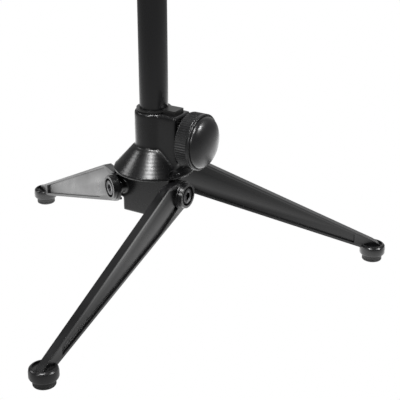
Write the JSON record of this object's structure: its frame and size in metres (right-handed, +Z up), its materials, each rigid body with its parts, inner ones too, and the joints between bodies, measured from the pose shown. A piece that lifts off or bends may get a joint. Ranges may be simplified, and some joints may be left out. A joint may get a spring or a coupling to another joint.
{
  "type": "music stand",
  "caption": "Free-standing music stand with a folding cast tripod base, a clamped telescopic pole and a swivelling, tilting desk with a ledge.",
  "frame": {"origin": "the point of the floor that lies on the pole's axis, midway between the three feet", "axes": "+Z up along the pole; +X along the base clamp knob's screw; the desk faces -Y and the first leg points along -Y"},
  "size_m": [0.5, 0.3534, 0.9359],
  "materials": {
    "cast_black": "semi-gloss black powder coat on a die casting",
    "leg_black": "semi-gloss black paint on a die casting",
    "tube_black": "satin black tube",
    "desk_black": "fine-textured black powder coat on sheet steel",
    "liner_black": "moulded black nylon",
    "knob_plastic": "satin black moulded plastic",
    "rubber": "matt black rubber",
    "bolt_black": "black-oxide steel",
    "steel": "zinc-plated steel",
    "brass": "turned brass"
  },
  "bodies": {
    "base": {"hub_casting": "cast_black", "hub_liner": "liner_black", "pivot_bolts": "bolt_black", "pivot_washers": "bolt_black"},
    "leg_1": {"leg_casting_1": "leg_black", "foot_pad_1": "rubber", "foot_screw_1": "steel"},
    "leg_2": {"leg_casting_2": "leg_black", "foot_pad_2": "rubber", "foot_screw_2": "steel"},
    "leg_3": {"leg_casting_3": "leg_black", "foot_pad_3": "rubber", "foot_screw_3": "steel"},
    "base_clamp": {"base_clamp_shoe": "brass"},
    "base_knob": {"base_clamp_stud": "steel", "base_knob_grip": "knob_plastic", "base_knob_cap": "knob_plastic"},
    "lower_pole": {"lower_tube": "tube_black", "tube_end_plug": "rubber", "collar_casting": "cast_black", "collar_liner": "liner_black"},
    "collar_clamp": {"collar_clamp_shoe": "brass"},
    "collar_knob": {"collar_clamp_stud": "steel", "collar_knob_grip": "knob_plastic", "collar_knob_cap": "knob_plastic"},
    "upper_pole": {"upper_tube": "tube_black", "guide_bush": "liner_black"},
    "head": {"swivel_head": "cast_black", "tilt_washers": "liner_black"},
    "desk": {"desk_bracket": "desk_black", "desk_panel": "desk_black", "desk_ledge": "desk_black", "ledge_strip": "rubber", "desk_rivets": "bolt_black", "tilt_bolt": "steel"},
    "tilt_knob": {"tilt_knob_grip": "knob_plastic", "tilt_knob_nut": "brass"}
  },
  "joints": [
    {"name": "leg_1_fold", "type": "hinge", "parent": "base", "child": "leg_1", "pos_m": [0, -0.0099, 0.0878], "axis": [1, 0, 0], "range_deg": [0, 68]},
    {"name": "leg_2_fold", "type": "hinge", "parent": "base", "child": "leg_2", "pos_m": [0.00857, 0.00495, 0.0878], "axis": [-0.5, 0.866, 0], "range_deg": [0, 68]},
    {"name": "leg_3_fold", "type": "hinge", "parent": "base", "child": "leg_3", "pos_m": [-0.00857, 0.00495, 0.0878], "axis": [-0.5, -0.866, 0], "range_deg": [0, 68]},
    {"name": "base_clamp_travel", "type": "slide", "parent": "base", "child": "base_clamp", "axis": [1, 0, 0], "range_m": [0, 0.000625]},
    {"name": "base_knob_turn", "type": "hinge", "parent": "base_clamp", "child": "base_knob", "pos_m": [0.036, 0, 0.136], "axis": [1, 0, 0], "range_deg": [0, 185]},
    {"name": "pole_lift", "type": "slide", "parent": "base", "child": "lower_pole", "axis": [0, 0, 1], "range_m": [0, 0.12]},
    {"name": "collar_clamp_travel", "type": "slide", "parent": "lower_pole", "child": "collar_clamp", "axis": [1, 0, 0], "range_m": [0, 0.0005]},
    {"name": "collar_knob_turn", "type": "hinge", "parent": "collar_clamp", "child": "collar_knob", "pos_m": [0.029, 0, 0.564], "axis": [1, 0, 0], "range_deg": [0, 185]},
    {"name": "height_slide", "type": "slide", "parent": "lower_pole", "child": "upper_pole", "axis": [0, 0, 1], "range_m": [0, 0.34]},
    {"name": "desk_swivel", "type": "hinge", "parent": "upper_pole", "child": "head", "pos_m": [0, 0, 0.66], "axis": [0, 0, 1], "continuous": true},
    {"name": "desk_tilt", "type": "hinge", "parent": "head", "child": "desk", "pos_m": [0, 0, 0.7], "axis": [1, 0, 0], "range_deg": [-70, 20]},
    {"name": "tilt_knob_turn", "type": "hinge", "parent": "desk", "child": "tilt_knob", "pos_m": [0.015, 0, 0.7], "axis": [1, 0, 0], "range_deg": [0, 180]}
  ],
  "couplings": [
    {"joint": "base_knob_turn", "follows": "base_clamp_travel", "rad_per_m": 5026.6},
    {"joint": "collar_knob_turn", "follows": "collar_clamp_travel", "rad_per_m": 6283.2}
  ]
}
